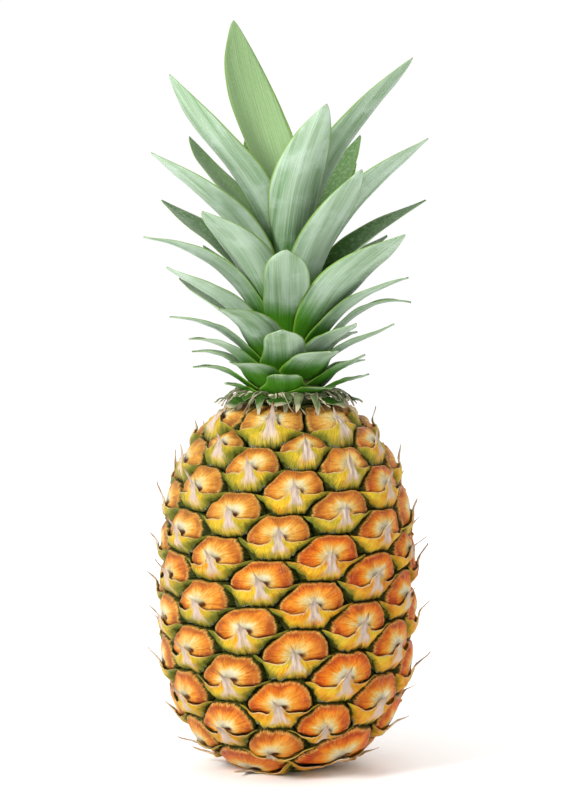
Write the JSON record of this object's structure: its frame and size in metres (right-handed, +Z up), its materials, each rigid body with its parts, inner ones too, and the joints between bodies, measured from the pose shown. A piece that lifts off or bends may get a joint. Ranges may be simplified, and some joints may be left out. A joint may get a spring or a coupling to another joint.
{
  "type": "pineapple",
  "caption": "Whole ripe pineapple standing on its cut stalk, with an orange and green rind of spiral eyes and a tall upright crown of stiff pointed leaves.",
  "frame": {"origin": "middle of the flat base the fruit stands on, on the face of its cut stalk", "axes": "+Z up through the crown, -Y towards the front, +X to the right seen from the front"},
  "size_m": [0.1384, 0.1349, 0.3717],
  "materials": {
    "rind": "satin ripe rind, orange eyes with yellow-green bracts and dark grooves",
    "stalk": "matt dry fibrous cut",
    "crown_core": "satin pale green stem",
    "green_leaf": "satin green with a pale bloom and yellow-green margins",
    "dry_leaf": "matt dry green-brown"
  },
  "bodies": {
    "root": {"fruit": "rind", "cut_stalk": "stalk", "crown_stem": "crown_core", "collar_leaf_1": "dry_leaf", "collar_leaf_2": "dry_leaf", "collar_leaf_3": "dry_leaf", "collar_leaf_4": "dry_leaf", "collar_leaf_5": "dry_leaf", "collar_leaf_6": "dry_leaf", "collar_leaf_7": "dry_leaf", "crown_leaf_01": "green_leaf", "crown_leaf_02": "green_leaf", "crown_leaf_03": "green_leaf", "crown_leaf_04": "green_leaf", "crown_leaf_05": "green_leaf", "crown_leaf_06": "green_leaf", "crown_leaf_07": "green_leaf", "crown_leaf_08": "green_leaf", "crown_leaf_09": "green_leaf", "crown_leaf_10": "green_leaf", "crown_leaf_11": "green_leaf", "crown_leaf_12": "green_leaf", "crown_leaf_13": "green_leaf", "crown_leaf_14": "green_leaf", "crown_leaf_15": "green_leaf", "crown_leaf_16": "green_leaf", "crown_leaf_17": "green_leaf", "crown_leaf_18": "green_leaf", "crown_leaf_19": "green_leaf", "crown_leaf_20": "green_leaf", "crown_leaf_21": "green_leaf", "crown_leaf_22": "green_leaf", "crown_leaf_23": "green_leaf", "crown_leaf_24": "green_leaf", "crown_leaf_25": "green_leaf", "crown_leaf_26": "green_leaf", "crown_leaf_27": "green_leaf", "crown_leaf_28": "green_leaf", "crown_leaf_29": "green_leaf", "crown_leaf_30": "green_leaf", "crown_leaf_31": "green_leaf", "crown_leaf_32": "green_leaf", "crown_leaf_33": "green_leaf", "crown_leaf_34": "green_leaf", "crown_leaf_35": "green_leaf", "crown_leaf_36": "green_leaf", "crown_leaf_37": "green_leaf", "crown_leaf_38": "green_leaf", "crown_leaf_39": "green_leaf", "crown_leaf_40": "green_leaf", "crown_leaf_41": "green_leaf", "crown_leaf_42": "green_leaf", "crown_leaf_43": "green_leaf", "crown_leaf_44": "green_leaf", "crown_leaf_45": "green_leaf", "crown_leaf_46": "green_leaf", "crown_leaf_47": "green_leaf", "crown_leaf_48": "green_leaf", "crown_leaf_49": "green_leaf"}
  },
  "joints": []
}
